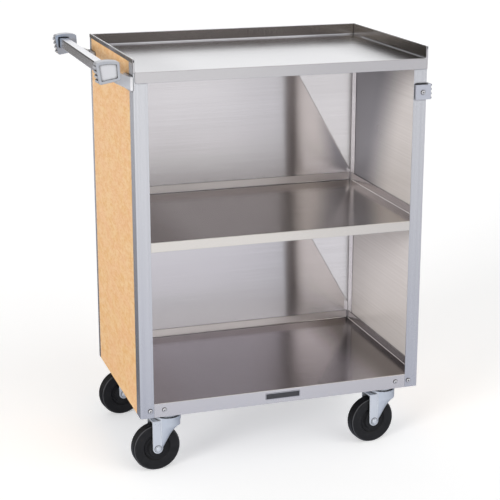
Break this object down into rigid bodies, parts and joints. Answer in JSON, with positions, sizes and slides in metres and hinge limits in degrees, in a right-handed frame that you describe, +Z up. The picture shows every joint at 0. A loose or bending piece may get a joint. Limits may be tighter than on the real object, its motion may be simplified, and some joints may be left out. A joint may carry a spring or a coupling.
{
  "type": "utility cart",
  "caption": "Upright utility cart with closed ends and back, open front, stainless shelves, a push handle on one end and swivel casters.",
  "frame": {"origin": "on the floor, under the middle of the overall box", "axes": "+Z up, the open front faces -Y, the handle is on the -X end and the bumper on the +X end"},
  "size_m": [0.7114, 0.446, 0.878],
  "materials": {
    "stainless": "brushed",
    "laminate": "satin laminate in a light wood decor",
    "polished_tube": "polished",
    "cast_bracket": "satin cast",
    "bumper_vinyl": "matte",
    "pad_rubber": "matte",
    "clip_steel": "zinc plated",
    "screw_steel": "bright",
    "label": "dark plate with a bright border, blank",
    "zinc": "zinc plated",
    "wheel_rubber": "satin",
    "bearing_nylon": "matte"
  },
  "bodies": {
    "cart": {"back_laminate": "laminate", "back_wall": "stainless", "bottom_shelf": "stainless", "bumper_clip_front": "clip_steel", "bumper_clip_rear": "clip_steel", "bumper_pads": "pad_rubber", "bumper_screws": "screw_steel", "bumper_strip": "bumper_vinyl", "caster_bolts": "zinc", "caster_channel_left": "stainless", "caster_channel_right": "stainless", "caster_nuts": "zinc", "caster_plate_front_left": "zinc", "caster_plate_front_right": "zinc", "caster_plate_rear_left": "zinc", "caster_plate_rear_right": "zinc", "corner_screws": "screw_steel", "corner_tie_left": "stainless", "corner_tie_right": "stainless", "front_post_left": "stainless", "front_post_right": "stainless", "handle_bar": "polished_tube", "handle_bracket_front": "cast_bracket", "handle_bracket_rear": "cast_bracket", "handle_screws": "screw_steel", "kingpins": "zinc", "label_plate": "label", "left_laminate": "laminate", "left_wall": "stainless", "middle_shelf": "stainless", "rear_post_left": "stainless", "rear_post_right": "stainless", "right_laminate": "laminate", "right_wall": "stainless", "swivel_balls": "zinc", "top_shelf": "stainless"},
    "caster_front_left": {"fork_front_left": "zinc", "axle_bolt_front_left": "zinc", "axle_nut_front_left": "zinc", "axle_sleeve_front_left": "zinc"},
    "roller_front_left": {"wheel_front_left": "wheel_rubber", "hub_bearing_front_left": "bearing_nylon"},
    "caster_front_right": {"fork_front_right": "zinc", "axle_bolt_front_right": "zinc", "axle_nut_front_right": "zinc", "axle_sleeve_front_right": "zinc"},
    "roller_front_right": {"wheel_front_right": "wheel_rubber", "hub_bearing_front_right": "bearing_nylon"},
    "caster_rear_left": {"fork_rear_left": "zinc", "axle_bolt_rear_left": "zinc", "axle_nut_rear_left": "zinc", "axle_sleeve_rear_left": "zinc"},
    "roller_rear_left": {"wheel_rear_left": "wheel_rubber", "hub_bearing_rear_left": "bearing_nylon"},
    "caster_rear_right": {"fork_rear_right": "zinc", "axle_bolt_rear_right": "zinc", "axle_nut_rear_right": "zinc", "axle_sleeve_rear_right": "zinc"},
    "roller_rear_right": {"wheel_rear_right": "wheel_rubber", "hub_bearing_rear_right": "bearing_nylon"}
  },
  "joints": [
    {"name": "swivel_front_left", "type": "hinge", "parent": "cart", "child": "caster_front_left", "pos_m": [-0.21108, -0.1631, 0.11], "axis": [0, 0, 1], "continuous": true},
    {"name": "roll_front_left", "type": "hinge", "parent": "caster_front_left", "child": "roller_front_left", "pos_m": [-0.23853, -0.16468, 0.0515], "axis": [-0.0576, 0.9983, 0], "continuous": true},
    {"name": "swivel_front_right", "type": "hinge", "parent": "cart", "child": "caster_front_right", "pos_m": [0.27752, -0.1631, 0.11], "axis": [0, 0, 1], "continuous": true},
    {"name": "roll_front_right", "type": "hinge", "parent": "caster_front_right", "child": "roller_front_right", "pos_m": [0.25019, -0.16617, 0.0515], "axis": [-0.1115, 0.9938, 0], "continuous": true},
    {"name": "swivel_rear_left", "type": "hinge", "parent": "cart", "child": "caster_rear_left", "pos_m": [-0.21108, 0.1631, 0.11], "axis": [0, 0, 1], "continuous": true},
    {"name": "roll_rear_left", "type": "hinge", "parent": "caster_rear_left", "child": "roller_rear_left", "pos_m": [-0.23828, 0.15908, 0.0515], "axis": [-0.1461, 0.9893, 0], "continuous": true},
    {"name": "swivel_rear_right", "type": "hinge", "parent": "cart", "child": "caster_rear_right", "pos_m": [0.27752, 0.1631, 0.11], "axis": [0, 0, 1], "continuous": true},
    {"name": "roll_rear_right", "type": "hinge", "parent": "caster_rear_right", "child": "roller_rear_right", "pos_m": [0.25017, 0.16023, 0.0515], "axis": [-0.1045, 0.9945, 0], "continuous": true}
  ]
}
